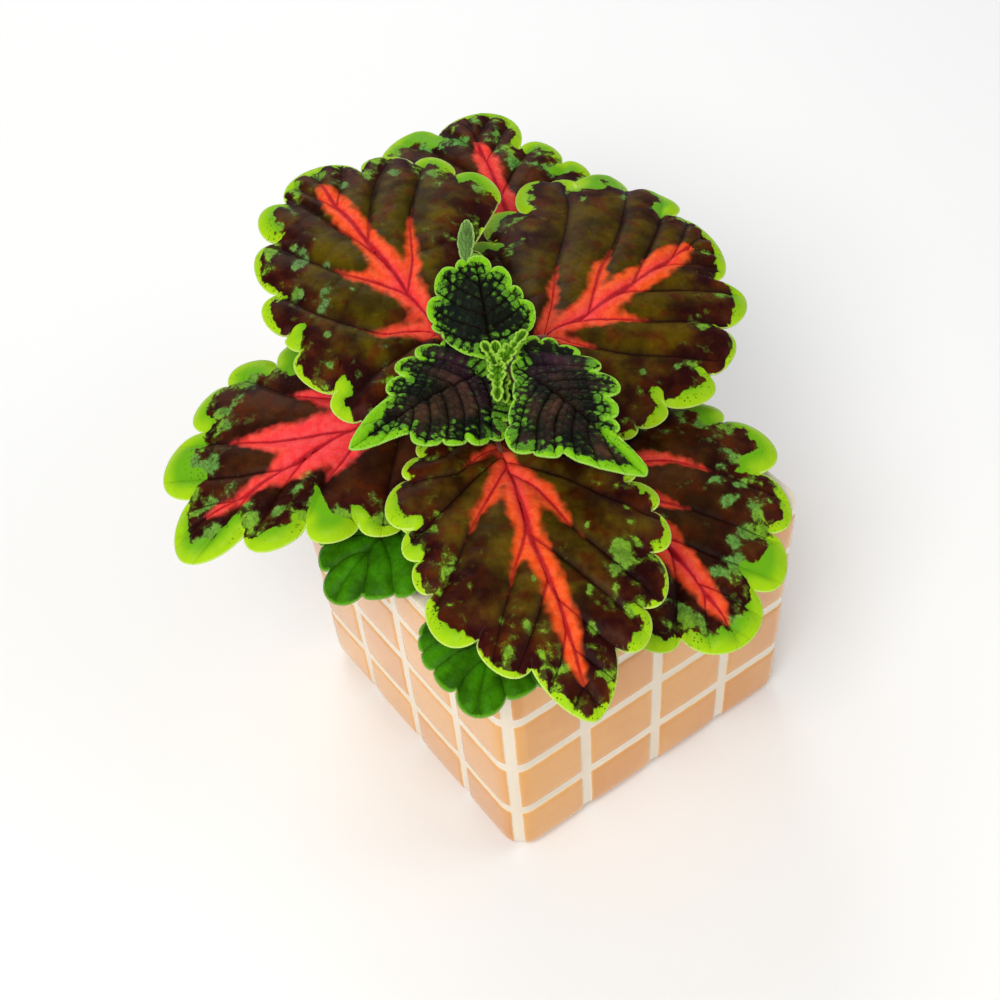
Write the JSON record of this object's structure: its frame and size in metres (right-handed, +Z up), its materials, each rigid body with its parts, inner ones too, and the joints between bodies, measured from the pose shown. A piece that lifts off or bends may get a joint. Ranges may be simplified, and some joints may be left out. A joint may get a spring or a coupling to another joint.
{
  "type": "potted coleus",
  "caption": "Square glazed planter with a tile-grid relief, holding a bushy coleus with lobed, lime-edged dark leaves round a small bud.",
  "frame": {"origin": "centre of the pot's flat base, on the surface it stands on", "axes": "+Z up; +X and +Y square to the pot's walls; the picture was taken from the -X, -Y corner"},
  "size_m": [0.166, 0.1971, 0.1212],
  "materials": {
    "glaze": "gloss",
    "soil": "matte",
    "stem": "satin",
    "variegated_leaf": "satin",
    "green_leaf": "satin",
    "young_leaf": "satin"
  },
  "bodies": {
    "root": {"pot": "glaze", "soil": "soil", "stem": "stem", "leaf_upper_left": "variegated_leaf", "leaf_upper_right": "variegated_leaf", "leaf_back": "variegated_leaf", "leaf_left": "variegated_leaf", "leaf_front": "variegated_leaf", "leaf_right": "variegated_leaf", "leaf_low_left": "green_leaf", "leaf_low_front": "green_leaf", "leaf_low_right": "green_leaf", "leaf_low_back": "green_leaf", "young_leaf_back": "young_leaf", "young_leaf_left": "young_leaf", "young_leaf_right": "young_leaf", "bud": "young_leaf"}
  },
  "joints": []
}
